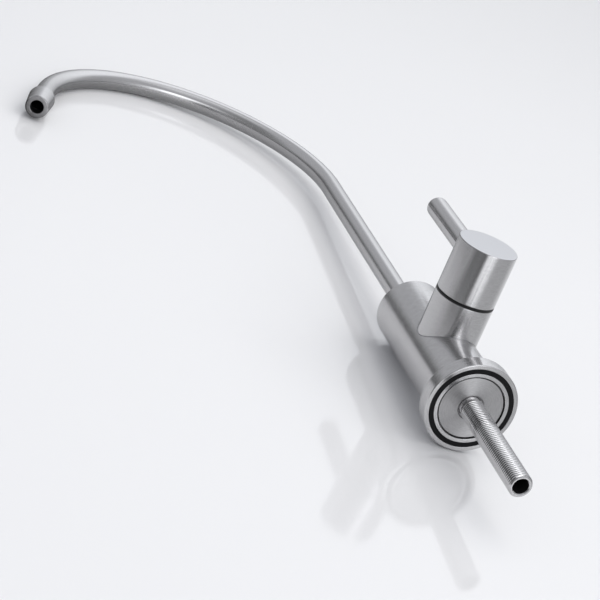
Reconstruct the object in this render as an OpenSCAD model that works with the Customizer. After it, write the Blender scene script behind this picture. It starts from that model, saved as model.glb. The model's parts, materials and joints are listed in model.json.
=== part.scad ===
// Drinking water filter tap: swivelling gooseneck spout, side lever on a quarter-turn valve, hollow stem.
// Origin at the centre of the base flange's underside, +Z up, side branch along +X, spout towards -Y.

/* [Body] */
// Outside diameter of the body column
body_d = 30.5; // [29:0.5:36]
// Height of the body column above the worktop
body_h = 85.5; // [80:0.5:100]
// Chamfer on the outside edges of turned pieces
edge_chamfer = 0.5; // [0.2:0.1:0.8]
// Height of the side branch's axis above the worktop
branch_z = 44.5; // [40:0.5:50]
// Outside diameter of the branch, the handle ring and the handle
branch_d = 26; // [24:0.5:29]
// Distance from the body's axis to the end face of the branch
branch_reach = 28.8; // [27:0.2:33]

/* [Base] */
// Width of the flange's ledge around the body
flange_ledge = 4.75; // [4.25:0.25:8]
// Thickness of the base flange
flange_h = 7.2; // [6.5:0.1:12]
// Depth of the seat in the flange's top that takes the body's foot
flange_seat = 2.2; // [1.5:0.1:3]
// Step from the body's surface in to the spigot that passes through the flange
spigot_step = 1.5; // [1:0.1:2]
// Open gap between the spigot and the flange
spigot_gap = 0.65; // [0.3:0.05:0.8]
// Height of the spigot's face above the worktop
spigot_recess = 0.6; // [0.3:0.1:1]
// Bare rim of the flange outside the gasket
gasket_rim = 1.9; // [1.5:0.1:2.2]
// Width of the gasket ring
gasket_w = 2.1; // [1.5:0.1:2.5]
// Thickness of the gasket ring
gasket_t = 2.5; // [1.5:0.1:3]

/* [Stem] */
// Outside diameter of the stem's thread
stem_d = 10; // [9:0.5:12]
// Length of the stem below the worktop
stem_l = 59.5; // [40:0.5:80]
// Bore of the stem, which takes the water tube
stem_bore = 6.6; // [5.5:0.1:7]
// Length of the stem that is screwed into the body
stem_engage = 12; // [8:0.5:16]
// Chamfer on the tip of the stem
stem_chamfer = 0.8; // [0.4:0.1:1.2]
// Depth of the thread undercut at the foot of the stem
stem_undercut = 0.5; // [0.3:0.1:0.7]
// Length of that undercut below the worktop
stem_undercut_l = 1.5; // [1:0.1:3]
// Thickness of the seal above the stem
stem_seal_t = 1.5; // [1:0.1:2]

/* [Waterways] */
// Diameter of the inlet drilling
inlet_d = 6; // [4:0.5:6.5]
// Diameter of the outlet drilling
outlet_d = 4; // [3:0.5:5]
// Wall between the inlet drilling and the valve seat
seat_wall = 2; // [1.5:0.1:2.5]
// Depth to which the branch stub is let into the body, outside the valve seat
stub_land = 3; // [2:0.2:4]

/* [Valve] */
// Diameter of the valve chamber
chamber_d = 18; // [17:0.5:19]
// Depth of the valve chamber from the end face of the branch
chamber_depth = 23.8; // [22:0.2:25]
// Diameter of the ceramic discs
disc_d = 13; // [12:0.5:13.5]
// Thickness of each ceramic disc
disc_t = 2.5; // [2:0.1:3]
// Turn angle of each port in the discs
port_turn = 80; // [60:5:85]
// Bare hub of the discs inside the ports
port_hub = 1.6; // [1:0.1:2]
// Bare rim of the fixed disc outside its ports
port_rim = 1.4; // [1:0.1:2]
// Thickness of the rubber seat seal
seat_seal_t = 2; // [1.5:0.1:2.5]
// Wall of the housing's skirt around the discs
skirt_wall = 1.25; // [0.8:0.05:1.4]
// Width of the housing's collar on the end face of the branch
collar_w = 1.4; // [1.2:0.1:1.6]
// Thickness of that collar
collar_t = 1.5; // [1:0.1:2]
// Hexagon of the housing, across its flats
hex_flats = 17; // [14:0.5:17.5]
// Thickness of the hexagon
hex_t = 3.5; // [2.5:0.1:4]
// Diameter of the housing's neck
neck_d = 12; // [10:0.5:13]
// Length of the neck
neck_l = 2; // [1:0.1:3]
// Diameter of the spindle's shank
spindle_d = 8; // [7:0.5:8.5]
// Thickness of the spindle's foot
foot_t = 2.5; // [2:0.1:3]
// Width of the tongue on the spindle's foot
tongue_w = 3; // [2:0.1:3.5]
// Depth of the tongue in the moving disc
tongue_t = 1.2; // [0.8:0.1:1.4]
// Thickness of the thrust washer
washer_t = 0.6; // [0.4:0.1:1]
// Number of teeth on the spindle's spline
spline_teeth = 20; // [16:1:24]
// Height of the spline's teeth
spline_tooth = 0.4; // [0.3:0.05:0.5]
// Thickness of the circlip
circlip_t = 0.9; // [0.6:0.1:1.2]
// Radial width of the circlip
circlip_w = 1.6; // [1:0.1:2]
// Turn angle of the opening in the circlip, and in the spout's snap ring
clip_opening = 30; // [20:5:60]
// Section of the spindle's seal rings
spindle_ring = 1.1; // [0.9:0.1:1.3]
// Distance from the housing's shoulder to the first seal ring, and between the rings
spindle_ring_pitch = 4; // [3:0.5:5]
// Section of the housing's seal ring
housing_ring = 1.4; // [1.1:0.1:1.6]
// Turn angle of each side window in the housing's skirt
window_turn = 90; // [60:5:110]

/* [Handle] */
// Length of the handle along its turning axis
handle_l = 24; // [22.5:0.5:30]
// Thickness of the black ring behind the handle
handle_ring_t = 1.2; // [0.8:0.1:2]
// Running gap between the ring and the handle
handle_gap = 0.1; // [0.05:0.05:0.3]
// Diameter of the lever rod
lever_d = 9.5; // [8:0.5:10]
// Reach of the lever's tip from the handle's turning axis
lever_reach = 59; // [40:0.5:80]
// Distance of the lever's axis from the handle's end face
lever_inset = 9.8; // [8.5:0.1:11]
// Depth of the lever's flat seat below the crown of the handle
lever_seat = 1.7; // [1.4:0.1:2.5]
// Rounding of the lever's tip
lever_round = 1.5; // [0.5:0.1:1.9]
// Diameter of the stud that joins the lever and clamps the spindle
stud_d = 5; // [4:0.5:6]
// Length of that stud
stud_l = 16; // [14:0.5:24]
// Wall of the spline bush
bush_wall = 2.5; // [2.2:0.1:3]
// Length of the spline bush past the lever's axis
bush_past = 4.4; // [3.5:0.1:5]

/* [Spout] */
// Outside diameter of the spout tube
tube_d = 9.5; // [8:0.5:12]
// Wall of the spout tube
tube_wall = 0.8; // [0.6:0.1:1.2]
// Height at which the gooseneck begins to bend
riser_top = 219; // [150:0.5:260]
// Radius of the gooseneck's bend, at the tube's centre
bend_r = 75; // [50:0.5:90]
// Turn of the gooseneck's bend
bend_turn = 162; // [150:1:180]
// Straight length from the bend to the nozzle's face
spout_tail = 26; // [18:0.5:40]
// Wall of the nozzle's collar around the tube, at its rear end
nozzle_wall = 1.4; // [0.6:0.1:2]
// Radius that the collar loses from its rear end to its front
nozzle_taper = 0.6; // [0:0.1:1]
// Length of the nozzle's collar
nozzle_l = 14.5; // [12:0.5:17]
// Bore of the nozzle's mouth
nozzle_bore = 6.4; // [5:0.1:7]
// Thickness of the nozzle's front wall
nozzle_front = 5; // [3:0.5:7]
// Wall of the swivel sleeve around the tube
sleeve_wall = 2.5; // [2.2:0.1:3.5]
// Depth of the swivel socket in the body
socket_depth = 22; // [20:0.5:25]
// Length of the tube inside the sleeve
tube_insert = 15; // [13:0.5:16]
// Section of the spout's seal rings
spout_ring = 1.6; // [1.3:0.1:1.7]
// Distance from the body's top to the first seal ring, and between the rings
spout_ring_pitch = 4.5; // [4:0.1:5.5]
// Thickness of the snap ring
snap_t = 1; // [0.8:0.1:1.2]
// Bite of the snap ring into the body
snap_bite = 0.6; // [0.4:0.1:1]
// Height of the snap ring above the sleeve's lower end
snap_rise = 2; // [1.5:0.1:2.5]
// Thickness of the bearing ring under the sleeve
bearing_t = 0.8; // [0.5:0.1:1.5]

/* [Fits] */
// Radial clearance of turning pieces
running_fit = 0.05; // [0.02:0.01:0.1]
// Radial clearance of screwed, brazed and seated pieces
seat_fit = 0.03; // [0.01:0.01:0.05]
// Axial clearance of turning faces
face_fit = 0.05; // [0.02:0.01:0.1]
// Axial play of seal rings and the snap ring in their grooves
groove_play = 0.3; // [0.2:0.05:0.5]
// Open space around the housing's collar inside the handle
collar_clear = 0.4; // [0.3:0.05:0.6]
// Open space in front of the circlip inside the handle
circlip_clear = 1.2; // [0.8:0.1:1.6]

/* [Hidden] */
$fn = 96;

// How far a cut runs past a face, and past the end of a bend in degrees
over = 1;
over_turn = 1;

body_r = body_d / 2;
branch_r = branch_d / 2;
chamber_r = chamber_d / 2;
disc_r = disc_d / 2;
spindle_r = spindle_d / 2;
stem_r = stem_d / 2;
lever_r = lever_d / 2;
tube_r = tube_d / 2;

// Base and stem, heights from the worktop
flange_r = body_r + flange_ledge;
foot_z = flange_h - flange_seat;
spigot_r = body_r - spigot_step;
flange_bore_r = spigot_r + spigot_gap;
gasket_out_r = flange_r - gasket_rim;
gasket_in_r = gasket_out_r - gasket_w;
stem_top = spigot_recess + stem_engage;
stem_seal_top = stem_top + stem_seal_t;
stem_neck_r = stem_r - stem_undercut;

// Valve stack, distances along the branch from the body's axis
seat_x = branch_reach - chamber_depth;
inlet_x = seat_x - seat_wall - inlet_d / 2;
stub_x = seat_x + stub_land;
fixed_x = seat_x + seat_seal_t;
moving_x = fixed_x + disc_t + face_fit;
foot_x = moving_x + disc_t;
washer_x = foot_x + foot_t;
shoulder_x = washer_x + washer_t + face_fit;
hex_x = branch_reach + collar_t;
neck_x = hex_x + hex_t;
circlip_x = neck_x + neck_l + face_fit;
spline_x = circlip_x + circlip_t;

// Valve radii
skirt_in_r = disc_r + running_fit;
skirt_r = skirt_in_r + skirt_wall;
housing_r = chamber_r - seat_fit;
collar_r = chamber_r + collar_w;
skirt_lift = seat_seal_t / 4;
foot_r = disc_r - 4 * running_fit;
spindle_groove_r = spindle_r - spindle_ring;
housing_groove_r = chamber_r - housing_ring;
circlip_groove_r = spindle_r - circlip_w / 2;

// Handle, distances along the branch from the body's axis
knob_x = branch_reach + handle_ring_t + handle_gap;
knob_end_x = knob_x + handle_l;
lever_x = knob_end_x - lever_inset;
lever_foot = branch_r - lever_seat;
ring_in_r = collar_r + collar_clear;
cavity_r = ring_in_r + collar_clear;
cavity_end_x = spline_x + circlip_clear;
spline_r = spindle_r - running_fit;
bush_end_x = lever_x + bush_past;
spline_end_x = bush_end_x - circlip_clear;
bush_r = spline_r + bush_wall;
stud_r = stud_d / 2;
stud_foot = spline_r + seat_fit;

// Spout
tube_in_r = tube_r - tube_wall;
sleeve_r = tube_r + sleeve_wall;
socket_r = sleeve_r + running_fit;
socket_z = body_h - socket_depth;
sleeve_z = socket_z + bearing_t + face_fit;
tube_z = body_h - tube_insert;
nozzle_r = tube_r + nozzle_wall;
nozzle_front_r = nozzle_r - nozzle_taper;
spout_groove_r = sleeve_r - spout_ring;
snap_z = sleeve_z + snap_rise;
snap_in_r = sleeve_r - 2 * snap_bite;
snap_r = sleeve_r + snap_bite;

steel = [0.70, 0.70, 0.72];
brass = [0.80, 0.65, 0.35];
black = [0.05, 0.05, 0.06];
white = [0.92, 0.92, 0.90];

// Puts a piece drawn along +Z onto the branch's axis, starting at distance x from the body's axis
module on_branch(x) {
    translate([x, 0, branch_z]) rotate([0, 90, 0]) children();
}

// Puts a piece drawn along +Z from the handle's turning axis onto the lever's axis
module on_lever() {
    translate([lever_x, 0, branch_z]) children();
}

// Puts a piece in the plane of the gooseneck's bend: local Z is the bend's axis,
// and the riser meets the bend on local +X
module on_bend() {
    translate([0, -bend_r, riser_top]) rotate([90, 0, 90]) children();
}

// Puts a piece drawn along +Z at the end of the bend, pointing the way the water leaves
module on_tail() {
    on_bend() rotate([0, 0, bend_turn]) translate([bend_r, 0, 0]) rotate([-90, 0, 0]) children();
}

// A plain ring
module ring(in_r, out_r, h) {
    difference() {
        cylinder(r = out_r, h = h);
        translate([0, 0, -over]) cylinder(r = in_r, h = h + 2 * over);
    }
}

// A seal ring of round section, at half the width of a groove of radius groove_r
module seal_ring(groove_r, section) {
    rotate_extrude() translate([groove_r + section / 2, 0]) circle(d = section - 2 * seat_fit, $fn = 32);
}

// The groove that a seal ring lies in, centred at height 0
module seal_groove(groove_r, out_r, section) {
    width = section + groove_play;
    translate([0, 0, -width / 2]) ring(groove_r, out_r + over, width);
}

// A sector of a ring, centred on local +X
module sector(in_r, out_r, turn, h) {
    rotate([0, 0, -turn / 2]) rotate_extrude(angle = turn) translate([in_r, 0]) square([out_r - in_r, h]);
}

// A drilling from one point to another, both in the plane y = 0
module drilling(from, to, d) {
    run = to - from;
    translate(from) rotate([0, atan2(run[0], run[2]), 0]) cylinder(d = d, h = norm(run));
}

// Corners of a spline tooth, as shares of its pitch
tooth_corners = [-0.35, -0.15, 0.15, 0.35];

// Outline of a spline with the given tip radius, four points to a tooth
function spline_points(tip_r) = [
    for (tooth = [0 : spline_teeth - 1], corner = [0 : 3])
        let (turn = 360 / spline_teeth * (tooth + tooth_corners[corner]))
        let (r = corner == 0 || corner == 3 ? tip_r - spline_tooth : tip_r)
        [r * cos(turn), r * sin(turn)]
];

// The riser and the bend of the gooseneck as a rod of one radius, from a height and through a turn
module gooseneck(r, foot, turn) {
    translate([0, 0, foot]) cylinder(r = r, h = riser_top - foot);
    on_bend() rotate_extrude(angle = turn) translate([bend_r, 0]) circle(r = r);
}

// Body column: spigot through the flange, valve seat, waterways and the spout's swivel socket
module body() {
    color(steel) difference() {
        rotate_extrude() polygon([
            [0, spigot_recess], [spigot_r, spigot_recess], [spigot_r, foot_z], [body_r, foot_z],
            [body_r, body_h - edge_chamfer], [body_r - edge_chamfer, body_h], [0, body_h]
        ]);
        translate([0, 0, -over]) cylinder(r = stem_r + seat_fit, h = stem_seal_top + over);
        translate([0, 0, spigot_recess - over])
            cylinder(r1 = stem_r + stem_chamfer + over, r2 = stem_r, h = stem_chamfer + over);
        translate([inlet_x, 0, stem_top]) cylinder(d = inlet_d, h = branch_z - stem_top);
        on_branch(inlet_x) cylinder(d = inlet_d, h = seat_x - inlet_x + over);
        on_branch(seat_x) cylinder(r = chamber_r, h = chamber_depth);
        on_branch(stub_x) cylinder(r = branch_r + seat_fit, h = branch_reach);
        drilling(
            [outlet_d / 2, 0, socket_z + over], [seat_x + over, 0, branch_z + chamber_r - over], outlet_d
        );
        translate([0, 0, socket_z]) cylinder(r = socket_r, h = socket_depth + over);
        translate([0, 0, snap_z - groove_play / 2])
            ring(socket_r - over, snap_r + groove_play, snap_t + groove_play);
    }
}

// Branch stub, let into the body and welded round its saddle
module branch_stub() {
    length = branch_reach - stub_x;
    color(steel) on_branch(stub_x) rotate_extrude() polygon([
        [chamber_r, 0], [branch_r, 0], [branch_r, length - edge_chamfer / 2],
        [branch_r - edge_chamfer / 2, length], [chamber_r, length]
    ]);
}

// Base flange with the body's seat above and the gasket's groove below
module base_flange() {
    color(steel) difference() {
        rotate_extrude() polygon([
            [flange_bore_r, 0], [flange_r - edge_chamfer, 0], [flange_r, edge_chamfer],
            [flange_r, flange_h - edge_chamfer], [flange_r - edge_chamfer, flange_h],
            [body_r + seat_fit, flange_h], [body_r + seat_fit, foot_z], [flange_bore_r, foot_z]
        ]);
        translate([0, 0, -over])
            ring(gasket_in_r - seat_fit, gasket_out_r + seat_fit, gasket_t + seat_fit + over);
    }
}

module base_gasket() {
    color(black) ring(gasket_in_r, gasket_out_r, gasket_t);
}

// Hollow stem: threaded outside, undercut at the foot, bored for the water tube
module threaded_stem() {
    bore_r = stem_bore / 2;
    color(steel) rotate_extrude() polygon([
        [bore_r + stem_chamfer / 2, -stem_l], [stem_r - stem_chamfer, -stem_l],
        [stem_r, stem_chamfer - stem_l], [stem_r, -stem_undercut_l], [stem_neck_r, -stem_undercut_l],
        [stem_neck_r, spigot_recess], [stem_r, spigot_recess], [stem_r, stem_top],
        [bore_r, stem_top], [bore_r, stem_chamfer / 2 - stem_l]
    ]);
}

module stem_seal() {
    color(black) translate([0, 0, stem_top])
        ring(stem_bore / 2 + stem_chamfer / 4, stem_neck_r, stem_seal_t);
}

// Brass housing of the quarter-turn valve: windowed skirt, threaded barrel, collar, hexagon and neck
module valve_housing() {
    mouth_x = seat_x + skirt_lift;
    bore_r = spindle_r + running_fit;
    neck_end_x = neck_x + neck_l;
    color(brass) difference() {
        union() {
            on_branch(0) rotate_extrude() polygon([
                [skirt_in_r, mouth_x], [skirt_r, mouth_x], [skirt_r, shoulder_x], [housing_r, shoulder_x],
                [housing_r, branch_reach], [collar_r, branch_reach], [collar_r, hex_x],
                [neck_d / 2, hex_x], [neck_d / 2, neck_end_x], [bore_r, neck_end_x],
                [bore_r, shoulder_x], [skirt_in_r, shoulder_x]
            ]);
            on_branch(hex_x) difference() {
                cylinder(d = hex_flats / cos(30), h = hex_t, $fn = 6);
                translate([0, 0, -over]) cylinder(r = bore_r, h = hex_t + 2 * over);
            }
        }
        for (side = [0, 180]) {
            on_branch(moving_x + face_fit) rotate([0, 0, side])
                sector(skirt_in_r - over, skirt_r + over, window_turn, washer_x - moving_x - face_fit);
        }
        on_branch(shoulder_x + housing_ring) seal_groove(housing_groove_r, housing_r, housing_ring);
    }
}

module housing_o_ring() {
    color(black) on_branch(shoulder_x + housing_ring) seal_ring(housing_groove_r, housing_ring);
}

module seat_seal() {
    color(black) on_branch(seat_x) ring(disc_r - port_rim, disc_r, seat_seal_t);
}

// Fixed ceramic disc with two ports, below and above the branch's axis
module fixed_disc() {
    color(white) on_branch(fixed_x) difference() {
        cylinder(r = disc_r, h = disc_t);
        for (side = [0, 180]) {
            translate([0, 0, -over]) rotate([0, 0, side])
                sector(port_hub, disc_r - port_rim, port_turn, disc_t + 2 * over);
        }
    }
}

// Moving ceramic disc: two open notches, turned off the ports while the tap is shut, and the tongue's slot
module moving_disc() {
    slot_w = tongue_w + 2 * seat_fit;
    color(white) on_branch(moving_x) difference() {
        cylinder(r = disc_r - running_fit, h = disc_t);
        for (side = [90, 270]) {
            translate([0, 0, -over]) rotate([0, 0, side])
                sector(port_hub, disc_r + over, port_turn, disc_t + 2 * over);
        }
        translate([-disc_d, -slot_w / 2, disc_t - tongue_t]) cube([2 * disc_d, slot_w, tongue_t + over]);
    }
}

// Spindle: tongue and foot on the moving disc, sealed shank, circlip groove and splined end
module spindle() {
    color(brass) difference() {
        union() {
            on_branch(foot_x) cylinder(r = foot_r, h = foot_t);
            on_branch(foot_x - tongue_t) intersection() {
                cylinder(r = foot_r, h = tongue_t + foot_t);
                translate([-disc_d, -tongue_w / 2, 0]) cube([2 * disc_d, tongue_w, tongue_t + foot_t]);
            }
            on_branch(foot_x) cylinder(r = spindle_r, h = spline_x - foot_x);
            on_branch(spline_x - over) linear_extrude(spline_end_x - spline_x + over)
                polygon(spline_points(spline_r));
        }
        for (row = [1, 2]) {
            on_branch(shoulder_x + row * spindle_ring_pitch)
                seal_groove(spindle_groove_r, spindle_r, spindle_ring);
        }
        on_branch(circlip_x - face_fit) ring(circlip_groove_r, spindle_r + over, circlip_t + face_fit);
    }
}

module thrust_washer() {
    color(white) on_branch(washer_x) ring(spindle_r + running_fit, foot_r, washer_t);
}

module spindle_o_rings() {
    color(black) for (row = [1, 2]) {
        on_branch(shoulder_x + row * spindle_ring_pitch) seal_ring(spindle_groove_r, spindle_ring);
    }
}

module spindle_circlip() {
    color(steel) on_branch(circlip_x) rotate([0, 0, 180])
        sector(circlip_groove_r + seat_fit, circlip_groove_r + circlip_w, 360 - clip_opening, circlip_t);
}

// Brass bush with the inner spline, seated in the handle and drilled for the stud
module spline_bush() {
    color(brass) difference() {
        on_branch(cavity_end_x) cylinder(r = bush_r, h = bush_end_x - cavity_end_x);
        on_branch(cavity_end_x - over) linear_extrude(bush_end_x - cavity_end_x + 2 * over)
            polygon(spline_points(spline_r + seat_fit));
        on_lever() cylinder(r = stud_r + seat_fit, h = bush_r + over);
    }
}

// Black ring between the branch and the handle
module handle_ring() {
    color(black) on_branch(branch_reach) ring(ring_in_r, branch_r, handle_ring_t);
}

// Handle: a closed cap over the housing, with the bush's bore and the lever's seat
module handle_knob() {
    bore_r = bush_r + seat_fit;
    color(steel) difference() {
        on_branch(0) rotate_extrude() polygon([
            [cavity_r, knob_x], [branch_r - edge_chamfer / 2, knob_x], [branch_r, knob_x + edge_chamfer / 2],
            [branch_r, knob_end_x - edge_chamfer], [branch_r - edge_chamfer, knob_end_x], [0, knob_end_x],
            [0, bush_end_x], [bore_r, bush_end_x], [bore_r, cavity_end_x], [cavity_r, cavity_end_x]
        ]);
        on_lever() cylinder(r = stud_r + seat_fit, h = branch_r);
        on_lever() translate([0, 0, lever_foot]) cylinder(r = lever_r + seat_fit, h = branch_r);
    }
}

// Lever rod with a rounded tip and a blind tapped hole for the stud
module handle_lever() {
    length = lever_reach - lever_foot;
    hole_l = stud_foot + stud_l + stud_r / 2 - lever_foot;
    color(steel) on_lever() translate([0, 0, lever_foot]) difference() {
        rotate_extrude() {
            square([lever_r, length - lever_round]);
            square([lever_r - lever_round, length]);
            translate([lever_r - lever_round, length - lever_round]) circle(r = lever_round);
        }
        translate([0, 0, -over]) cylinder(r = stud_r + seat_fit, h = hole_l + over);
    }
}

// Headless stud that holds the lever to the handle and bears on the spindle
module lever_stud() {
    color(steel) on_lever() translate([0, 0, stud_foot]) rotate_extrude() polygon([
        [0, 0], [stud_r - edge_chamfer, 0], [stud_r, edge_chamfer], [stud_r, stud_l - edge_chamfer],
        [stud_r - edge_chamfer, stud_l], [0, stud_l]
    ]);
}

// Gooseneck tube
module spout_tube() {
    color(steel) difference() {
        gooseneck(tube_r, tube_z, bend_turn);
        gooseneck(tube_in_r, tube_z - over, bend_turn + over_turn);
    }
}

// Swivel sleeve brazed on the foot of the tube, grooved for the seal rings and the snap ring
module spout_sleeve() {
    socket_in_r = tube_r + seat_fit;
    color(steel) difference() {
        rotate_extrude() polygon([
            [tube_in_r, sleeve_z], [sleeve_r - edge_chamfer, sleeve_z], [sleeve_r, sleeve_z + edge_chamfer],
            [sleeve_r, body_h], [socket_in_r, body_h], [socket_in_r, tube_z], [tube_in_r, tube_z]
        ]);
        for (row = [1, 2]) {
            translate([0, 0, body_h - row * spout_ring_pitch])
                seal_groove(spout_groove_r, sleeve_r, spout_ring);
        }
        translate([0, 0, snap_z]) ring(snap_in_r - seat_fit, sleeve_r + over, snap_t);
    }
}

module spout_o_rings() {
    color(black) for (row = [1, 2]) {
        translate([0, 0, body_h - row * spout_ring_pitch]) seal_ring(spout_groove_r, spout_ring);
    }
}

// Open snap ring that keeps the sleeve in its socket
module spout_snap_ring() {
    color(steel) translate([0, 0, snap_z]) rotate([0, 0, 90])
        sector(snap_in_r, snap_r, 360 - clip_opening, snap_t);
}

// Plastic bearing ring on the floor of the swivel socket
module spout_bearing() {
    color(white) translate([0, 0, socket_z]) ring(tube_in_r, sleeve_r, bearing_t);
}

// Nozzle: a straight shank butted to the end of the bend, and a tapered collar with a narrower mouth
module nozzle() {
    rear = spout_tail - nozzle_l;
    front_in = spout_tail - nozzle_front;
    mouth_r = nozzle_bore / 2;
    color(steel) on_tail() rotate_extrude() polygon([
        [tube_in_r, seat_fit], [tube_r, seat_fit], [tube_r, rear], [nozzle_r - edge_chamfer / 2, rear],
        [nozzle_r, rear + edge_chamfer / 2], [nozzle_front_r, spout_tail - edge_chamfer],
        [nozzle_front_r - edge_chamfer, spout_tail], [mouth_r, spout_tail],
        [mouth_r, front_in], [tube_in_r, front_in]
    ]);
}

body();
branch_stub();
base_flange();
base_gasket();
threaded_stem();
stem_seal();
valve_housing();
housing_o_ring();
seat_seal();
fixed_disc();
handle_ring();
spout_bearing();
moving_disc();
spindle();
thrust_washer();
spindle_o_rings();
spindle_circlip();
spline_bush();
handle_knob();
handle_lever();
lever_stud();
spout_tube();
spout_sleeve();
spout_o_rings();
spout_snap_ring();
nozzle();
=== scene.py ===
"""Looks of a drinking water filter tap in brushed steel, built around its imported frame."""

import json
import math

import bmesh
import bpy
from mathutils import Matrix, Vector


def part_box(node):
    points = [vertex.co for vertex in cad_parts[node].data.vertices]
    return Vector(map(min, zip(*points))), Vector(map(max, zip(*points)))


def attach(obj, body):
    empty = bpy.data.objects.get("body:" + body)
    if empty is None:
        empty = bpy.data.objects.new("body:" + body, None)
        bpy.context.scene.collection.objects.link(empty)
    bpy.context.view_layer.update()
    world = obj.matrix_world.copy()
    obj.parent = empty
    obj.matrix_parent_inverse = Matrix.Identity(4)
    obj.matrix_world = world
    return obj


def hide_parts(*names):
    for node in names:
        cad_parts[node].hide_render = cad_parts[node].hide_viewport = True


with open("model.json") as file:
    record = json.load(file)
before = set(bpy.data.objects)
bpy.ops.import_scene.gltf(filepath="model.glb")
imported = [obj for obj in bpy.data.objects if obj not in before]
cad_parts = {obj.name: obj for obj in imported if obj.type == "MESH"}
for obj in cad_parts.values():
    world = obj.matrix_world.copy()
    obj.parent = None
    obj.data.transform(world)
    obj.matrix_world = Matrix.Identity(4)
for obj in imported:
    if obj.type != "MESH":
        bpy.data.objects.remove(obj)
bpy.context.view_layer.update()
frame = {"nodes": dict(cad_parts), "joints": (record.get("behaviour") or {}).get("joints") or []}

# Driving sizes that the frame's boxes don't give, in metres
MM = 0.001
GASKET_W = 2.1 * MM
GASKET_T = 2.5 * MM
FLANGE_SEAT = 2.2 * MM  # depth of the body's seat
FLANGE_BORE_R = 14.4 * MM
STEM_BORE_R = 3.3 * MM
STEM_NECK_R = 4.5 * MM
STEM_NECK_L = 1.5 * MM
STEM_CHAMFER = 0.8 * MM
THREAD_PITCH = 1.25 * MM
THREAD_DEPTH = 0.5 * MM
THREAD_CREST = 0.4  # share of the pitch
THREAD_ROOT = 0.12  # share of the pitch
CHAMBER_R = 9 * MM  # bore of the branch, round the valve
WELD_BEAD_R = 0.18 * MM
RING_LAP = 0.4 * MM  # how far the handle's ring reaches in past the handle's cavity
KNOB_CAVITY_R = 11.2 * MM
KNOB_BORE_R = 6.48 * MM
LEVER_ROUND = 1.9 * MM  # rounding of the lever's tip
STUD_R = 2.5 * MM
TUBE_WALL = 0.8 * MM
NOZZLE_COLLAR_L = 14.5 * MM
NOZZLE_REAR_R = 6.35 * MM
NOZZLE_FRONT_R = 5.55 * MM
NOZZLE_BORE_R = 3.2 * MM
NOZZLE_FRONT = 5 * MM  # length of the mouth's narrow bore
BEND_TURN = math.radians(162)
SEAT_FIT = 0.03 * MM  # clearance between a piece and its seat
EDGE = 0.5 * MM  # setback of a rounded edge
SMALL_EDGE = 0.25 * MM
FINE_EDGE = 0.1 * MM

# Mesh fineness
SEGMENTS = 144
SLIM_SEGMENTS = 96
HOLE_SEGMENTS = 48
FILLET_STEPS = 5
BEAD_SIDES = 8
THREAD_COLUMNS = 72
THREAD_ROWS = 16  # in one pitch
TUBE_SIDES = 64
RISER_RINGS = 24
BEND_RINGS = 120
CARD_STEPS = 24
SHARP_ANGLE = math.radians(40)
THREAD_SHARP_ANGLE = math.radians(20)
ON_AXIS = 1e-9  # a smaller radius is a point on the axis

# Sizes from the frame
body_lo, body_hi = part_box("body")
flange_lo, flange_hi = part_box("base_flange")
gasket_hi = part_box("base_gasket")[1]
stem_lo, stem_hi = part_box("threaded_stem")
stub_lo, stub_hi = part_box("branch_stub")
ring_lo, ring_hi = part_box("handle_ring")
knob_lo, knob_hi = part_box("handle_knob")
bush_lo, bush_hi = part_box("spline_bush")
lever_lo, lever_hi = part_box("handle_lever")
stud_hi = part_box("lever_stud")[1]
tube_lo, tube_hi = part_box("spout_tube")
nozzle_lo, nozzle_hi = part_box("nozzle")
joints = {joint["name"]: joint for joint in frame["joints"]}
branch_z = joints["handle_turn"]["pos_m"][2]
branch_r = stub_hi.y
stem_r = stem_hi.x
thread_tip = stem_lo.z
thread_end = -STEM_NECK_L
lever_x = (lever_lo.x + lever_hi.x) / 2
lever_r = lever_hi.y
tube_r = tube_hi.x
tube_in_r = tube_r - TUBE_WALL
bend_r = (-tube_lo.y + tube_r * math.cos(BEND_TURN)) / (1 - math.cos(BEND_TURN))
riser_top = tube_hi.z - tube_r - bend_r

# Places of turned pieces, each with its own axis as local Z
ON_BODY = Matrix.Identity(4)
ON_BRANCH = Matrix.Translation((0, 0, branch_z)) @ Matrix.Rotation(math.radians(90), 4, "Y")
ON_LEVER = Matrix.Translation((lever_x, 0, 0))


def bend_point(turn):
    """Centre of the gooseneck's bend at a turn from the riser."""
    return Vector((0, bend_r * (math.cos(turn) - 1), riser_top + bend_r * math.sin(turn)))


def bend_heading(turn):
    """The way the gooseneck runs at a turn from the riser."""
    return Vector((0, -math.sin(turn), math.cos(turn)))


tail_heading = bend_heading(BEND_TURN)
tail_start = bend_point(BEND_TURN)
ON_TAIL = Matrix.Translation(tail_start) @ tail_heading.to_track_quat("Z", "X").to_matrix().to_4x4()
mouth_drop = abs(tail_heading.y) * (NOZZLE_FRONT_R - EDGE)
tail_l = (tail_start.z - nozzle_lo.z - mouth_drop) / -tail_heading.z


# Mesh makers

def new_object(name, data):
    """An object in the scene."""
    made = bpy.data.objects.new(name, data)
    bpy.context.scene.collection.objects.link(made)
    return made


def axes_at(point, wide, tall, back):
    """The place at a point whose own X, Y and Z run along three directions."""
    return Matrix.Translation(point) @ Matrix((wide, tall, back)).transposed().to_4x4()


def finish_piece(name, work, place=ON_BODY, sharp_angle=SHARP_ANGLE):
    """The worked mesh as an object with smooth faces whose flats stay flat, standing at its place."""
    bmesh.ops.recalc_face_normals(work, faces=work.faces)
    mesh = bpy.data.meshes.new(name)
    work.to_mesh(mesh)
    work.free()
    mesh.shade_smooth()
    mesh.set_sharp_from_angle(angle=sharp_angle)
    piece = new_object(name, mesh)
    piece.matrix_world = place
    normals = piece.modifiers.new("flat_faces", "WEIGHTED_NORMAL")
    normals.keep_sharp = True
    return piece


def turns(count):
    """Angles round a full turn, in equal steps."""
    return [2 * math.pi * k / count for k in range(count)]


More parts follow.
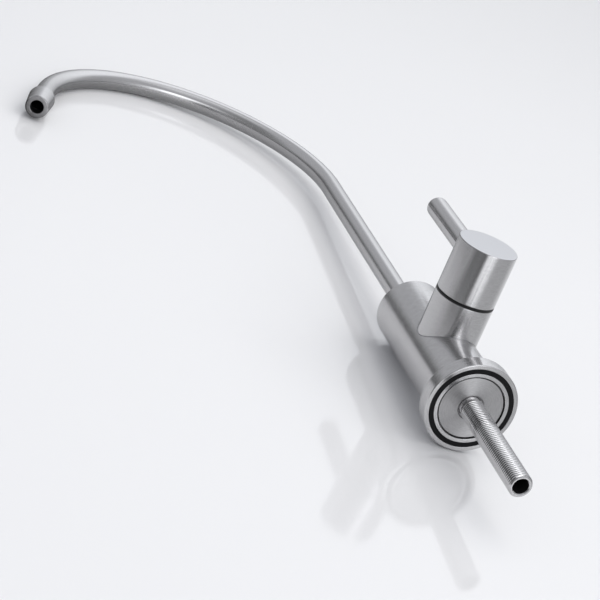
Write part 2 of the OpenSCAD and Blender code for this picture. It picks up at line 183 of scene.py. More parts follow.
def flat_ring(work, radius, z, count):
    """Vertices round local Z at a height."""
    return [work.verts.new((radius * math.cos(a), radius * math.sin(a), z)) for a in turns(count)]


def ring_about(work, point, radius, wide, tall, count):
    """Vertices round a point, in the plane of two directions."""
    outward = [math.cos(a) * wide + math.sin(a) * tall for a in turns(count)]
    return [work.verts.new(point + radius * step) for step in outward]


def bridge(work, ring, other, count):
    """Faces between two rings of vertices, either of which may be a single point on the axis."""
    if len(ring) == len(other) == 1:
        return
    for k in range(count):
        after = k + 1
        around = [
            ring[k % len(ring)], ring[after % len(ring)], other[after % len(other)], other[k % len(other)],
        ]
        work.faces.new(list(dict.fromkeys(around)))


def rounded(corners):
    """Section points from corners (r, z, setback), each corner rounded over its setback."""
    points = []
    for i, (r, z, setback) in enumerate(corners):
        here = Vector((r, z))
        if not setback:
            points.append(here)
            continue
        before = Vector(corners[i - 1][:2])
        after = Vector(corners[(i + 1) % len(corners)][:2])
        start = here + (before - here).normalized() * setback
        end = here + (after - here).normalized() * setback
        for k in range(FILLET_STEPS + 1):
            t = k / FILLET_STEPS
            points.append(start.lerp(here, t).lerp(here.lerp(end, t), t))
    return points


def lathe(name, corners, place=ON_BODY, segments=SEGMENTS):
    """A turned solid about local Z, from the corners of its closed section."""
    work = bmesh.new()
    rings = []
    for r, z in rounded(corners):
        if r < ON_AXIS:
            rings.append([work.verts.new((0, 0, z))])
        else:
            rings.append(flat_ring(work, r, z, segments))
    for i, ring in enumerate(rings):
        bridge(work, ring, rings[(i + 1) % len(rings)], segments)
    return finish_piece(name, work, place)


def cut(piece, cutter):
    """Takes the cutter's volume out of a piece, and the cutter away."""
    modifier = piece.modifiers.new("cut", "BOOLEAN")
    modifier.object = cutter
    modifier.solver = "EXACT"
    modifier.operation = "DIFFERENCE"
    bpy.context.view_layer.update()
    mesh = bpy.data.meshes.new_from_object(piece.evaluated_get(bpy.context.evaluated_depsgraph_get()))
    piece.modifiers.remove(modifier)
    piece.data = mesh
    mesh.set_sharp_from_angle(angle=SHARP_ANGLE)
    bpy.data.objects.remove(cutter)


def dress(piece, body, slot, node, *materials):
    """Hangs a piece on its body in place of a node, with its materials."""
    for material in materials:
        piece.data.materials.append(material)
    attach(piece, body)
    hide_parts(node)


def second_material_within(piece, radius):
    """The faces of a turned piece that lie nearer to its axis than radius take its second material."""
    for face in piece.data.polygons:
        if math.hypot(face.center.x, face.center.y) < radius:
            face.material_index = 1


# Material makers
ANISOTROPY = 0.93
MARK_ROTATION = 0.25  # share of a turn between the tangent and the gloss
RADIAL = {"direction_type": "RADIAL", "axis": "Z"}
ALONG_MAP = {"direction_type": "UV_MAP", "uv_map": "run"}
RADIUS_RUN = 1.37  # run of lathe marks over a unit of radius, against 1 over a unit of height
NOISE_RANGE = (0.3, 0.7)  # where most values of the noise lie
FINE_MARK = 0.12 * MM  # marks of brushed steel: their width, their changes round the axis, their detail
FINE_ROUND = 8.0
FINE_DETAIL = 3.0
BROAD_MARK = 0.5 * MM
BROAD_ROUND = 5.0
BROAD_DETAIL = 2.0
BRUSHED_SWING = 0.06  # share by which the roughness varies
BRUSHED_BUMP = 0.12
BRUSHED_BUMP_DEPTH = 0.01 * MM
END_FACING = (0.5, 0.8)  # part of a normal along the axis, from side faces to end faces
MOTTLED_DETAIL = 4.0
MOTTLED_SWING = 0.15
MOTTLED_BUMP = 0.05
MOTTLED_BUMP_DEPTH = 0.3  # share of the size of its spots
MIX_FACTOR, MIX_DARK, MIX_LIGHT = 0, 6, 7  # sockets of a colour mix
MIX_RESULT = 2


def add(tree, kind, inputs=None, **settings):
    """A shader node with its settings, and with inputs that are values or other nodes' outputs."""
    made = tree.nodes.new("ShaderNode" + kind)
    for key, value in settings.items():
        setattr(made, key, value)
    for key, value in (inputs or {}).items():
        if isinstance(value, bpy.types.NodeSocket):
            tree.links.new(value, made.inputs[key])
        else:
            made.inputs[key].default_value = value
    return made


def new_material(name, inputs):
    """A material with one Principled shader and its constant inputs."""
    material = bpy.data.materials.new(name)
    material.use_nodes = True
    shader = material.node_tree.nodes["Principled BSDF"]
    for key, value in inputs.items():
        shader.inputs[key].default_value = value
    return material, material.node_tree, shader


def map_range(tree, value, source, target):
    """A value moved from one range to another."""
    return add(tree, "MapRange", {
        "Value": value, "From Min": source[0], "From Max": source[1],
        "To Min": target[0], "To Max": target[1],
    }).outputs[0]


def noise(tree, place, detail):
    """Grey noise at a place."""
    return add(tree, "TexNoise", {"Vector": place, "Scale": 1.0, "Detail": detail}).outputs["Fac"]


def varied_colour(tree, value, colour, contrast):
    """A colour that noise makes darker and lighter by a share."""
    dark = [c * (1 - contrast) for c in colour] + [1]
    light = [c * (1 + contrast) for c in colour] + [1]
    share = map_range(tree, value, NOISE_RANGE, (0.0, 1.0))
    mixed = add(tree, "Mix", {MIX_FACTOR: share, MIX_DARK: dark, MIX_LIGHT: light}, data_type="RGBA")
    return mixed.outputs[MIX_RESULT]


def varied_gloss(tree, value, roughness, swing):
    """A roughness that noise makes lower and higher by a share."""
    return map_range(tree, value, NOISE_RANGE, (roughness * (1 - swing), roughness * (1 + swing)))


def off_axis(tree, place):
    """The part of a place that lies across local Z, and its length."""
    flat = add(tree, "VectorMath", {0: place, 1: (1, 1, 0)}, operation="MULTIPLY").outputs[0]
    radius = add(tree, "VectorMath", {0: flat}, operation="LENGTH").outputs["Value"]
    return flat, radius


def marks(tree, unit, run, around, across):
    """Coordinates of marks that change slowly round an axis and fast along their run."""
    along = add(tree, "CombineXYZ", {"Z": run}).outputs[0]
    slow = add(tree, "VectorMath", {0: unit, "Scale": around}, operation="SCALE").outputs[0]
    fast = add(tree, "VectorMath", {0: along, "Scale": across}, operation="SCALE").outputs[0]
    return add(tree, "VectorMath", {0: slow, 1: fast}, operation="ADD").outputs[0]


def turned_run(tree, around, across):
    """Coordinates of lathe marks about local Z: slow round the axis, fast along the section."""
    place = add(tree, "TexCoord").outputs["Object"]
    flat, radius = off_axis(tree, place)
    unit = add(tree, "VectorMath", {0: flat}, operation="NORMALIZE").outputs[0]
    height = add(tree, "SeparateXYZ", {0: place}).outputs["Z"]
    run = add(tree, "Math", {0: radius, 1: RADIUS_RUN, 2: height}, operation="MULTIPLY_ADD").outputs[0]
    return marks(tree, unit, run, around, across)


def tube_run(tree, around, across):
    """Coordinates of marks round a bent tube, from its map of turn and length."""
    place = add(tree, "SeparateXYZ", {0: add(tree, "UVMap", uv_map="run").outputs[0]})
    turn = add(tree, "Math", {0: place.outputs["X"], 1: 2 * math.pi}, operation="MULTIPLY").outputs[0]
    cosine = add(tree, "Math", {0: turn}, operation="COSINE").outputs[0]
    sine = add(tree, "Math", {0: turn}, operation="SINE").outputs[0]
    unit = add(tree, "CombineXYZ", {"X": cosine, "Y": sine}).outputs[0]
    return marks(tree, unit, place.outputs["Y"], around, across)


def brushed_steel(name, colour, roughness, grain, anisotropy=ANISOTROPY, end_roughness=None,
                  run=turned_run, tangent=RADIAL):
    """Satin steel with fine marks round its axis, broad streaks in its gloss and a faint grain.

    Faces across its axis take the end roughness where one is given.
    """
    material, tree, shader = new_material(name, {
        "Metallic": 1.0, "Anisotropic": anisotropy, "Anisotropic Rotation": MARK_ROTATION,
    })
    fine = noise(tree, run(tree, FINE_ROUND, 1 / FINE_MARK), FINE_DETAIL)
    broad = noise(tree, run(tree, BROAD_ROUND, 1 / BROAD_MARK), BROAD_DETAIL)
    total = add(tree, "Math", {0: fine, 1: broad}, operation="ADD").outputs[0]
    mean = add(tree, "Math", {0: total, 1: 0.5}, operation="MULTIPLY").outputs[0]
    tree.links.new(varied_colour(tree, mean, colour, grain), shader.inputs["Base Color"])
    gloss = varied_gloss(tree, mean, roughness, BRUSHED_SWING)
    if end_roughness:
        normal = add(tree, "TexCoord").outputs["Normal"]
        facing = add(tree, "SeparateXYZ", {0: normal}).outputs["Z"]
        flat = add(tree, "Math", {0: facing}, operation="ABSOLUTE").outputs[0]
        extra = map_range(tree, flat, END_FACING, (0.0, end_roughness - roughness))
        gloss = add(tree, "Math", {0: gloss, 1: extra}, operation="ADD").outputs[0]
    tree.links.new(gloss, shader.inputs["Roughness"])
    bump = add(tree, "Bump", {"Strength": BRUSHED_BUMP, "Distance": BRUSHED_BUMP_DEPTH, "Height": fine})
    tree.links.new(bump.outputs[0], shader.inputs["Normal"])
    tree.links.new(add(tree, "Tangent", **tangent).outputs[0], shader.inputs["Tangent"])
    return material


def mottled(name, inputs, colour, contrast, roughness, size, bump=MOTTLED_BUMP, shaded_grooves=None):
    """A material whose colour and gloss vary softly in spots of a size, with a fine uneven surface.

    Shaded grooves, where given, are the radii of a thread's root and crest and the tone of the root: the
    colour darkens from crest to root as painted shade.
    """
    material, tree, shader = new_material(name, inputs)
    place = add(tree, "TexCoord").outputs["Object"]
    scaled = add(tree, "VectorMath", {0: place, "Scale": 1 / size}, operation="SCALE").outputs[0]
    value = noise(tree, scaled, MOTTLED_DETAIL)
    shade = varied_colour(tree, value, colour, contrast)
    # painted shade: darker towards the thread's roots
    if shaded_grooves:
        root, crest, tone = shaded_grooves
        radius = off_axis(tree, place)[1]
        root_shade = map_range(tree, radius, (root, crest), (tone, 1.0))
        shade = add(tree, "VectorMath", {0: shade, "Scale": root_shade}, operation="SCALE").outputs[0]
    tree.links.new(shade, shader.inputs["Base Color"])
    tree.links.new(varied_gloss(tree, value, roughness, MOTTLED_SWING), shader.inputs["Roughness"])
    rough = add(tree, "Bump", {"Strength": bump, "Distance": size * MOTTLED_BUMP_DEPTH, "Height": value})
    tree.links.new(rough.outputs[0], shader.inputs["Normal"])
    return material


def one_sided(tree, shader, cover=1.0):
    """Shows a shader on the front of its faces alone, as far as its cover goes."""
    behind = add(tree, "NewGeometry").outputs["Backfacing"]
    facing = add(tree, "Math", {0: 1.0, 1: behind}, operation="SUBTRACT").outputs[0]
    share = add(tree, "Math", {0: facing, 1: cover}, operation="MULTIPLY").outputs[0]
    clear = add(tree, "BsdfTransparent").outputs[0]
    shown = add(tree, "MixShader", {0: share, 1: clear, 2: shader})
    tree.links.new(shown.outputs[0], tree.nodes["Material Output"].inputs["Surface"])


# Materials
METAL = {"Metallic": 1.0}
MATT = {"Specular IOR Level": 0.15}
SATIN = {"Specular IOR Level": 0.3}
PLAIN = {}
STEEL = (0.56, 0.555, 0.56)
FACE_STEEL = (0.552, 0.555, 0.575)
# Painted shade: darker than the steel, for the shaded gap along the weld
SEAM_SHADED_STEEL = (0.34, 0.34, 0.35)
BRASS = (0.72, 0.54, 0.27)
BLACK = (0.006, 0.006, 0.007)
BLACK_PLASTIC = (0.008, 0.008, 0.009)
WHITE_PLASTIC = (0.80, 0.80, 0.78)
CERAMIC = (0.85, 0.84, 0.80)
# Painted shade: share of the steel's colour left at the thread's roots
ROOT_PAINTED_SHADE = 0.7
CREST_FLAT = 0.02 * MM  # depth over which the thread's crest keeps its full tone, before the painted shade of the root

turned_steel = brushed_steel("turned_steel", STEEL, roughness=0.20, grain=0.10)
body_steel = brushed_steel("body_steel", STEEL, roughness=0.20, grain=0.14, end_roughness=0.5)
flange_steel = brushed_steel("flange_steel", STEEL, roughness=0.20, grain=0.16)
face_steel = brushed_steel("face_steel", FACE_STEEL, roughness=0.30, grain=0.03, anisotropy=0.2)
tube_steel = brushed_steel(
    "tube_steel", STEEL, roughness=0.21, grain=0.07, run=tube_run, tangent=ALONG_MAP,
)
thread_steel = mottled("thread_steel", METAL, STEEL, contrast=0.10, roughness=0.20, size=0.8 * MM)
cut_steel = mottled(
    "cut_steel", METAL, STEEL, contrast=0.08, roughness=0.13, size=0.8 * MM,
    shaded_grooves=(stem_r - THREAD_DEPTH, stem_r - CREST_FLAT, ROOT_PAINTED_SHADE),
)
seam_shaded_steel = mottled("seam_shaded_steel", METAL, SEAM_SHADED_STEEL, contrast=0.25, roughness=0.35, size=0.6 * MM)
brass = mottled("brass", METAL, BRASS, contrast=0.06, roughness=0.30, size=0.6 * MM)
# Painted shade: the insides of the steel bores of the stem, tube and nozzle are coloured near-black
bore_painted_shade = mottled("bore_painted_shade", PLAIN, BLACK, contrast=0.2, roughness=0.6, size=1.0 * MM)
rubber = mottled("rubber", MATT, BLACK, contrast=0.25, roughness=0.60, size=0.35 * MM)
black_plastic = mottled(
    "black_plastic", SATIN, BLACK_PLASTIC, contrast=0.2, roughness=0.45, size=0.5 * MM,
)
white_plastic = mottled(
    "white_plastic", PLAIN, WHITE_PLASTIC, contrast=0.03, roughness=0.45, size=0.8 * MM,
)
ceramic = mottled("ceramic", PLAIN, CERAMIC, contrast=0.02, roughness=0.16, size=0.5 * MM, bump=0.01)


# Pieces on the body
stem_finishes = (thread_steel, bore_painted_shade, cut_steel)


def make_flange():
    """Base flange: thick disc with rounded edges, seat for the body above and gasket groove below."""
    top = flange_hi.z
    foot = top - FLANGE_SEAT
    r = flange_hi.x
    seat_r = body_hi.y + SEAT_FIT
    groove_out = gasket_hi.x + SEAT_FIT
    groove_in = gasket_hi.x - GASKET_W - SEAT_FIT
    groove_top = GASKET_T + SEAT_FIT
    flange = lathe("base_flange_turned", [
        (FLANGE_BORE_R, 0, SMALL_EDGE), (groove_in, 0, FINE_EDGE), (groove_in, groove_top, 0),
        (groove_out, groove_top, 0), (groove_out, 0, FINE_EDGE), (r, 0, EDGE), (r, top, EDGE),
        (seat_r, top, FINE_EDGE), (seat_r, foot, 0), (FLANGE_BORE_R, foot, 0),
    ])
    dress(flange, "tap_body", "brushed_steel", "base_flange", flange_steel)


def make_gasket():
    """Flush rubber ring under the flange."""
    out_r = gasket_hi.x
    in_r = out_r - GASKET_W
    gasket = lathe("base_gasket_ring", [
        (in_r, 0, SMALL_EDGE), (out_r, 0, SMALL_EDGE),
        (out_r, GASKET_T, FINE_EDGE), (in_r, GASKET_T, FINE_EDGE),
    ])
    dress(gasket, "tap_body", "black_rubber", "base_gasket", rubber)


def make_stub():
    """Branch stub, from its seat inside the body to the handle's ring."""
    stub = lathe("branch_stub_turned", [
        (CHAMBER_R, stub_lo.x, 0), (branch_r, stub_lo.x, 0), (branch_r, stub_hi.x, SMALL_EDGE),
        (CHAMBER_R, stub_hi.x, FINE_EDGE),
    ], ON_BRANCH)
    dress(stub, "tap_body", "brushed_steel", "branch_stub", turned_steel)


def make_seam():
    """Thin dressed weld where the branch meets the body, coloured darker than the steel as painted shade of
    the gap along it.
    """
    points = []
    for turn in turns(SEGMENTS):
        y = branch_r * math.cos(turn)
        points.append(Vector((math.sqrt(body_hi.y**2 - y**2), y, branch_z + branch_r * math.sin(turn))))
    work = bmesh.new()
    rings = []
    for k, point in enumerate(points):
        heading = (points[(k + 1) % SEGMENTS] - points[k - 1]).normalized()
        out = Vector((1, 0, 0)).cross(heading).normalized()
        rings.append(ring_about(work, point, WELD_BEAD_R, out, heading.cross(out), BEAD_SIDES))
    for k, ring in enumerate(rings):
        bridge(work, ring, rings[(k + 1) % SEGMENTS], BEAD_SIDES)
    seam = finish_piece("weld_seam", work)
    seam.data.materials.append(seam_shaded_steel)
    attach(seam, "tap_body")


def make_handle_ring():
    """Black ring between the branch and the handle."""
    in_r = KNOB_CAVITY_R - RING_LAP
    ring = lathe("handle_ring_black", [
        (in_r, ring_lo.x, 0), (branch_r, ring_lo.x, FINE_EDGE), (branch_r, ring_hi.x, FINE_EDGE),
        (in_r, ring_hi.x, 0),
    ], ON_BRANCH)
    dress(ring, "tap_body", "black_plastic", "handle_ring", black_plastic)


def thread_radius(share):
    """Radius of the thread at a share of its pitch."""
    from_root = abs(share % 1 - 0.5) * 2
    sunk = (1 - THREAD_CREST - from_root) / (1 - THREAD_CREST - THREAD_ROOT)
    return stem_r - THREAD_DEPTH * min(1, max(0, sunk))


def cut_thread(work, tip_ring, end_ring):
    """Faces of the helical thread, from the ring at the stem's tip to the ring at its undercut."""
    angles = turns(THREAD_COLUMNS)

    def vertex(column, row):
        """A point of the thread, or the point of the ring that ends it."""
        share = row / THREAD_ROWS
        z = thread_tip + THREAD_PITCH * (share + column / THREAD_COLUMNS)
        if z <= thread_tip:
            return tip_ring[column]
        if z >= thread_end:
            return end_ring[column]
        radius = min(thread_radius(share), stem_r - STEM_CHAMFER + z - thread_tip)
        return work.verts.new((radius * math.cos(angles[column]), radius * math.sin(angles[column]), z))

    pitches = math.ceil((thread_end - thread_tip) / THREAD_PITCH)
    rows = range(-THREAD_ROWS, THREAD_ROWS * pitches + 1)
    grid = [[vertex(column, row) for row in rows] for column in range(THREAD_COLUMNS)]
    grid.append(grid[0][THREAD_ROWS:] + [end_ring[0]] * THREAD_ROWS)
    for here, near in zip(grid, grid[1:]):
        for j in range(len(rows) - 1):
            corners = list(dict.fromkeys((here[j], near[j], near[j + 1], here[j + 1])))
            if len(corners) > 2:
                face = work.faces.new(corners)
                if face.calc_center_median().z > thread_tip + STEM_CHAMFER:
                    face.material_index = stem_finishes.index(cut_steel)


def make_stem():
    """Hollow stem with a helical thread, undercut at its foot and chamfered at its tip."""
    shoulder = body_lo.z
    bore_edge = STEM_CHAMFER / 2
    work = bmesh.new()

    def ring(radius, z):
        """Vertices round the stem at a height."""
        return flat_ring(work, radius, z, THREAD_COLUMNS)

    tip_ring = ring(stem_r - STEM_CHAMFER, thread_tip)
    end_ring = ring(STEM_NECK_R, thread_end)
    cut_thread(work, tip_ring, end_ring)
    rings = [
        end_ring, ring(STEM_NECK_R, shoulder), ring(stem_r, shoulder), ring(stem_r, stem_hi.z),
        ring(STEM_BORE_R, stem_hi.z), ring(STEM_BORE_R, thread_tip + bore_edge),
        ring(STEM_BORE_R + bore_edge, thread_tip), tip_ring,
    ]
    for near, far in zip(rings, rings[1:]):
        bridge(work, near, far, THREAD_COLUMNS)
    stem = finish_piece("threaded_stem_cut", work, sharp_angle=THREAD_SHARP_ANGLE)
    dress(stem, "tap_body", "plain_steel", "threaded_stem", *stem_finishes)
    # the bore's faces take the painted shade
    second_material_within(stem, STEM_BORE_R + FINE_EDGE)


make_stem()
make_flange()
make_gasket()
make_stub()
make_seam()
make_handle_ring()


# Pieces on the handle

def make_knob():
    """Handle: closed cap with a rounded end, hollow behind, with the lever's seat."""
    knob = lathe("handle_knob_turned", [
        (KNOB_CAVITY_R, knob_lo.x, 0), (branch_r, knob_lo.x, SMALL_EDGE), (branch_r, knob_hi.x, EDGE),
        (0, knob_hi.x, 0), (0, bush_hi.x, 0), (KNOB_BORE_R, bush_hi.x, 0), (KNOB_BORE_R, bush_lo.x, 0),
        (KNOB_CAVITY_R, bush_lo.x, 0),
    ], ON_BRANCH)
    top = branch_z + 2 * branch_r
    seat_r = lever_r + SEAT_FIT
    hole_r = STUD_R + SEAT_FIT
    cut(knob, lathe("seat_cutter", [
        (0, lever_lo.z, 0), (seat_r, lever_lo.z, 0), (seat_r, top, 0), (0, top, 0),
    ], ON_LEVER))
    cut(knob, lathe("stud_cutter", [
        (0, branch_z, 0), (hole_r, branch_z, 0), (hole_r, top, 0), (0, top, 0),
    ], ON_LEVER, HOLE_SEGMENTS))
    dress(knob, "handle", "brushed_steel", "handle_knob", turned_steel, face_steel)
    for face in knob.data.polygons:
        face.material_index = int(face.center.z > knob_hi.x - FINE_EDGE)


def make_lever():
    """Lever rod with a rounded tip and a blind hole for its stud."""
    hole_r = STUD_R + SEAT_FIT
    hole_top = stud_hi.z + STUD_R / 2
    lever = lathe("handle_lever_turned", [
        (hole_r, lever_lo.z, 0), (lever_r, lever_lo.z, FINE_EDGE), (lever_r, lever_hi.z, LEVER_ROUND),
        (0, lever_hi.z, 0), (0, hole_top, 0), (hole_r, hole_top, 0),
    ], ON_LEVER, SLIM_SEGMENTS)
    dress(lever, "handle", "brushed_steel", "handle_lever", turned_steel)


make_knob()
make_lever()


# Pieces on the spout

def tube_stations():
    """Points along the gooseneck, each with its heading and its length from the foot."""
    foot = tube_lo.z
    stations = []
    for k in range(RISER_RINGS):
        z = foot + (riser_top - foot) * k / RISER_RINGS
        stations.append((Vector((0, 0, z)), Vector((0, 0, 1)), z - foot))
    for k in range(BEND_RINGS + 1):
        turn = BEND_TURN * k / BEND_RINGS
        stations.append((bend_point(turn), bend_heading(turn), riser_top - foot + bend_r * turn))
    return stations


def make_tube():
    """Gooseneck: straight riser and one long bend, open at both ends."""
    points, headings, lengths = zip(*tube_stations())
    side = Vector((1, 0, 0))
    work = bmesh.new()
    run = work.loops.layers.uv.new("run")
    skins = {}
    for radius in (tube_r, tube_in_r):
        skins[radius] = []
        for point, heading in zip(points, headings):
            skins[radius].append(ring_about(work, point, radius, side, side.cross(heading), TUBE_SIDES))
    for radius, rings in skins.items():
        for i in range(len(rings) - 1):
            for k in range(TUBE_SIDES):
                after = (k + 1) % TUBE_SIDES
                face = work.faces.new((rings[i][k], rings[i][after], rings[i + 1][after], rings[i + 1][k]))
                corners = [(k, i), (k + 1, i), (k + 1, i + 1), (k, i + 1)]
                for loop, (column, row) in zip(face.loops, corners):
                    loop[run].uv = (column / TUBE_SIDES, lengths[row])
                # the inner skin takes the bore's painted shade
                face.material_index = int(radius == tube_in_r)
    for end in (0, -1):
        bridge(work, skins[tube_r][end], skins[tube_in_r][end], TUBE_SIDES)
    tube = finish_piece("spout_tube_bent", work)
    dress(tube, "spout", "brushed_steel", "spout_tube", tube_steel, bore_painted_shade)


def make_nozzle():
    """Nozzle: straight shank, collar with a chamfered front, and a mouth whose bore is painted dark as
    shade.
    """
    rear = tail_l - NOZZLE_COLLAR_L
    front_in = tail_l - NOZZLE_FRONT
    nozzle = lathe("nozzle_turned", [
        (tube_in_r, SEAT_FIT, 0), (tube_r, SEAT_FIT, 0), (tube_r, rear, FINE_EDGE),
        (NOZZLE_REAR_R, rear, EDGE), (NOZZLE_FRONT_R, tail_l - EDGE, FINE_EDGE),
        (NOZZLE_FRONT_R - EDGE, tail_l, FINE_EDGE), (NOZZLE_BORE_R, tail_l, SMALL_EDGE),
        (NOZZLE_BORE_R, front_in, 0), (tube_in_r, front_in, 0),
    ], ON_TAIL, SLIM_SEGMENTS)
    dress(nozzle, "spout", "brushed_steel", "nozzle", turned_steel, bore_painted_shade)
    # the mouth's bore takes the painted shade
    second_material_within(nozzle, NOZZLE_BORE_R + FINE_EDGE)


make_tube()
make_nozzle()


# Nodes that keep their own shape
KEPT = {
    "body": body_steel, "spout_sleeve": turned_steel,
    "stem_seal": rubber, "valve_housing": brass, "housing_o_ring": rubber, "seat_seal": rubber,
    "fixed_disc": ceramic, "moving_disc": ceramic, "spout_bearing": white_plastic, "spindle": brass,
    "thrust_washer": white_plastic, "spindle_o_rings": rubber, "spindle_circlip": thread_steel,
    "spline_bush": brass, "lever_stud": thread_steel, "spout_o_rings": rubber,
    "spout_snap_ring": thread_steel,
}
for name, material in KEPT.items():
    node = frame["nodes"][name]
    node.data.materials.clear()
    node.data.materials.append(material)


# Camera at the photograph's viewing angle
CAMERA_AT = Vector((306.14, -387.81, -675.54)) * MM
CAMERA_AIM = Vector((-11.24, -46.71, 94.55)) * MM
CAMERA_UP = Vector((0.86107, -0.22654, 0.45528))
LENS_MM = 123.59
SENSOR_MM = 36.0
CAMERA_REACH = 20.0

camera_data = bpy.data.cameras.new("camera")
camera_data.sensor_width = SENSOR_MM
camera_data.lens = LENS_MM
camera_data.clip_end = CAMERA_REACH
camera = new_object("camera", camera_data)
bpy.context.scene.camera = camera
ahead = (CAMERA_AIM - CAMERA_AT).normalized()
right = ahead.cross(CAMERA_UP).normalized()
camera.matrix_world = axes_at(CAMERA_AT, right, right.cross(ahead), -ahead)


# Floor under the lying tap, which rests on its flange, the crown of its gooseneck and its nozzle
FLOOR_GAP = 0.4 * MM
FLOOR_HALF = 3.0
FLOOR_COLOUR = (0.882, 0.885, 0.905, 1)
FLOOR_ROUGHNESS = 0.08

rim_rest = Vector((flange_lo.x, 0, flange_hi.z / 2))
crown_rest = Vector((tube_lo.x, -bend_r, tube_hi.z - tube_r))
nozzle_rest = Vector((nozzle_lo.x, (nozzle_lo.y + nozzle_hi.y) / 2, (nozzle_lo.z + nozzle_hi.z) / 2))
floor_up = (crown_rest - rim_rest).cross(nozzle_rest - rim_rest).normalized()
front = CAMERA_AT - CAMERA_AT.dot(floor_up) * floor_up
front.normalize()
aside = floor_up.cross(front)
centre = rim_rest - FLOOR_GAP * floor_up

floor_mesh = bpy.data.meshes.new("floor")
corner_ways = ((-1, -1), (1, -1), (1, 1), (-1, 1))
corners = [centre + FLOOR_HALF * (a * aside + b * -front) for a, b in corner_ways]
floor_mesh.from_pydata(corners, [], [(0, 1, 2, 3)])
floor = new_object("floor", floor_mesh)
floor_material, floor_tree, floor_shader = new_material("floor", {
    "Base Color": FLOOR_COLOUR, "Roughness": FLOOR_ROUGHNESS,
})
one_sided(floor_tree, floor_shader.outputs[0])
floor_mesh.materials.append(floor_material)


# Light: pale surroundings, two soft panels, and cards that only reflections see
TARGET = Vector((15, -20, 60)) * MM  # the point of the tap that panels and cards stand round
PANEL_DISTANCE = 1.6
PANEL_COLOUR = (1.0, 0.98, 0.94)
WORLD_COLOUR = (0.57, 0.58, 0.605, 1)
WORLD_TONE = WORLD_COLOUR[0]
CARD_COLOUR = (0.96, 0.975, 1.0, 1)
SKY_COLOUR = (0.955, 0.975, 1.01, 1)
MAT_RISE = 1 * MM  # height of a card over the floor
WALL = 2.0
CEILING = 2.5

ground = TARGET - (TARGET - centre).dot(floor_up) * floor_up


def way(azimuth, elevation):
    """Direction from the tap, by degrees to the right of the camera and above the floor."""
    a = math.radians(azimuth)
    e = math.radians(elevation)
    return math.cos(e) * (math.cos(a) * front + math.sin(a) * aside) + math.sin(e) * floor_up


def panel(name, azimuth, elevation, width, height, watts):
    """A soft light panel that faces the tap and stays out of its reflections."""
    data = bpy.data.lights.new(name, "AREA")
    data.shape = "RECTANGLE"
    data.size = width
    data.size_y = height
    data.energy = watts
    data.color = PANEL_COLOUR
    lamp = new_object(name, data)
    lamp.visible_camera = False
    lamp.visible_glossy = False
    back = way(azimuth, elevation)
    wide = floor_up.cross(back).normalized()
    lamp.matrix_world = axes_at(TARGET + back * PANEL_DISTANCE, wide, back.cross(wide), back)


def on_floor(distance, tone, cover=1):
    """A point of a card's section just over the floor: distance, height, tone and cover."""
    return distance, MAT_RISE, tone, cover


def on_wall(elevation, tone, cover=1):
    """A point of a card's section on the wall, at an elevation seen from the tap."""
    return WALL, WALL * math.tan(math.radians(elevation)), tone, cover


def on_ceiling(elevation, tone, cover=1):
    """A point of a card's section on the ceiling, at an elevation seen from the tap."""
    return CEILING / math.tan(math.radians(elevation)), CEILING, tone, cover


def card_mesh(name, azimuths, section, fades, near):
    """A card's section carried round the tap, with the tone and the cover of each point."""
    first, last = azimuths
    points = []
    tones = []
    covers = []
    for k in range(CARD_STEPS + 1):
        outward = way(first + (last - first) * k / CARD_STEPS, 0)
        insets = [abs(k - end) / CARD_STEPS / fade for end, fade in zip((0, CARD_STEPS), fades) if fade]
        kept = min([1, *insets])
        for distance, rise, tone, cover in section:
            points.append(ground + (outward * distance + floor_up * rise) * near)
            tones.append(tone)
            covers.append(cover * kept)
    row = len(section)
    faces = []
    for k in range(CARD_STEPS):
        for corner in range(k * row, k * row + row - 1):
            faces.append((corner, corner + 1, corner + 1 + row, corner + row))
    mesh = bpy.data.meshes.new(name)
    mesh.from_pydata(points, [], faces)
    mesh.attributes.new("tone", "FLOAT", "POINT").data.foreach_set("value", tones)
    mesh.attributes.new("cover", "FLOAT", "POINT").data.foreach_set("value", covers)
    return mesh


def card_material(name, colour):
    """A glow with the tone and the cover of the card's points."""
    material = bpy.data.materials.new(name)
    material.use_nodes = True
    tree = material.node_tree
    tree.nodes.remove(tree.nodes["Principled BSDF"])
    tone = add(tree, "Attribute", attribute_name="tone").outputs["Fac"]
    cover = add(tree, "Attribute", attribute_name="cover").outputs["Fac"]
    glow = add(tree, "Emission", {"Color": colour, "Strength": tone}).outputs[0]
    one_sided(tree, glow, cover)
    return material


def card(name, azimuths, section, fades=(0, 0), colour=CARD_COLOUR, near=1.0):
    """A card round the tap from one azimuth to another, seen only in reflections.

    Its section is a list of points with tone and cover. Over the shares of its width in fades, its two ends
    fade away, and near scales its distance.
    """
    mesh = card_mesh(name, azimuths, section, fades, near)
    mesh.materials.append(card_material(name, colour))
    made_card = new_object(name, mesh)
    made_card.visible_camera = False
    made_card.visible_diffuse = False
    made_card.visible_shadow = False
    made_card.visible_transmission = False


panel("top", azimuth=140, elevation=66, width=1.7, height=1.7, watts=12.0)
panel("front", azimuth=38, elevation=30, width=1.5, height=1.2, watts=5.2)

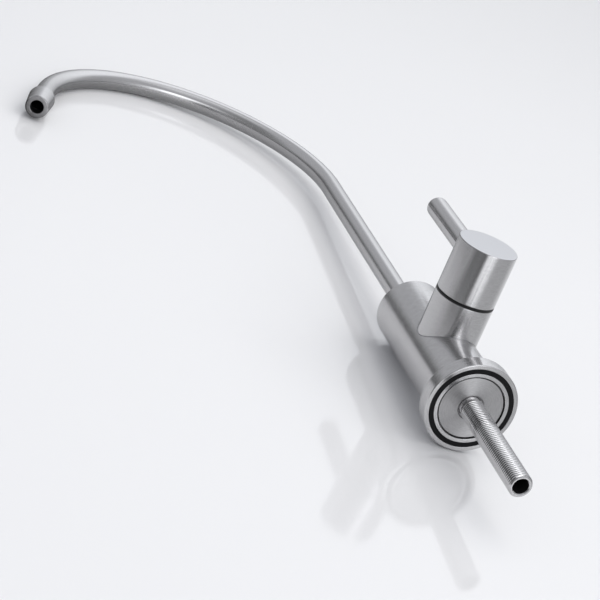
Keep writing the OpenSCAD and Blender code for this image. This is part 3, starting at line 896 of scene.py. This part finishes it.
# Front cards: dark on the left, bright on the right, with a black strip between them. The dark sheet just
# over the floor is painted shade of the floor, and the bright sheet over the floor is a painted reflection
# on it; reflections alone see them.
card("front_floor_shade", azimuths=(-60, 24), fades=(0.5, 0.06), section=[
    on_floor(0.08, 0.14, cover=0), on_floor(0.15, 0.14), on_floor(0.3, 0.2), on_floor(WALL, 0.2),
])
card("front_card", azimuths=(-75, -5), fades=(0.3, 0.12), section=[
    on_wall(0, 0.27), on_wall(56, 0.27), on_wall(70, WORLD_TONE, cover=0),
])
card("front_glow", azimuths=(2, 76), fades=(0.24, 0.4), section=[
    on_wall(0, 1.4), on_wall(15, 1.5), on_wall(32, 1.5), on_wall(40, 1.2), on_wall(47, 0.6, cover=0),
])
card("front_core", azimuths=(25, 58), fades=(0.25, 0.35), near=0.98, section=[
    on_wall(16, 3.0, cover=0), on_wall(24, 3.2), on_wall(36, 3.2), on_wall(44, 3.0, cover=0),
])
card("front_shine", azimuths=(20, 60), fades=(0.08, 0.5), near=1.03, section=[
    on_floor(0.15, 1.3, cover=0), on_floor(0.2, 1.4), on_floor(WALL, 1.5),
])
card("front_block", azimuths=(-2, 26), fades=(0.2, 0.2), near=0.7, section=[
    on_wall(0, 0.03), on_wall(21, 0.03), on_wall(29, 0.2, cover=0),
])

# Left cards: dark sheets just over the floor, which are painted shade of the floor near the tap that
# reflections alone see, and a low dark wall
card("left_floor_shade", azimuths=(-134, -40), fades=(0.25, 0.2), section=[
    on_floor(0.18, 0.08, cover=0), on_floor(0.21, 0.08), on_floor(WALL, 0.08),
])
card("left_far_floor_shade", azimuths=(-195, -122), fades=(0.25, 0.4), near=0.99, section=[
    on_floor(0.06, 0.4, cover=0), on_floor(0.12, 0.4, cover=0.4), on_floor(0.25, 0.25, cover=0.85),
    on_floor(0.45, 0.2, cover=0.9), on_floor(WALL, 0.2),
])
card("bend_floor_shade", azimuths=(-158, -104), fades=(0.15, 0.15), near=0.98, section=[
    on_floor(0.215, 0.3, cover=0), on_floor(0.24, 0.3, cover=0.7), on_floor(0.27, 0.3, cover=0.7),
    on_floor(0.31, 0.3, cover=0),
])
card("left_card", azimuths=(-150, -62), section=[
    on_wall(0, 0.15), on_wall(8, 0.4), on_wall(14, WORLD_TONE, cover=0),
])

# Right cards: a grey sheet just over the floor, painted shade of the floor that reflections alone see, and
# a grey wall
card("right_floor_shade", azimuths=(44, 142), fades=(0.15, 0.35), near=1.01, section=[
    on_floor(0.08, 0.66, cover=0.5), on_floor(0.10, 0.66), on_floor(0.2, 0.6), on_floor(0.3, 0.55),
    on_floor(WALL, 0.5),
])
card("right_card", azimuths=(85, 150), fades=(0.25, 0.3), near=0.95, section=[
    on_wall(0, 0.40), on_wall(10, 0.43), on_wall(30, 0.5), on_wall(42, WORLD_TONE, cover=0),
])

# Back cards: a grey sheet just over the floor, painted shade of the floor that reflections alone see, and a
# bright wall and ceiling
card("back_floor_shade", azimuths=(140, 210), fades=(0.3, 0.3), near=1.02, section=[
    on_floor(0.4, 0.7, cover=0), on_floor(0.8, 0.65, cover=0.8), on_floor(WALL, 0.5),
])
card("back_card", azimuths=(132, 216), fades=(0.3, 0.2), colour=SKY_COLOUR, section=[
    on_wall(0, 0.5), on_wall(12, 0.88), on_wall(25, 1.32), on_wall(38, 1.5), on_wall(60, 1.42),
    on_ceiling(80, 1.0, cover=0),
])
card("ceiling_card", azimuths=(0, 300), fades=(0.1, 0.1), section=[
    on_ceiling(55, 0.65, cover=0), on_ceiling(75, 1.05), on_ceiling(89, 1.05),
])

world = bpy.data.worlds.new("studio")
world.use_nodes = True
bpy.context.scene.world = world
world.node_tree.nodes["Background"].inputs["Color"].default_value = WORLD_COLOUR

bpy.context.scene.view_settings.view_transform = "Standard"
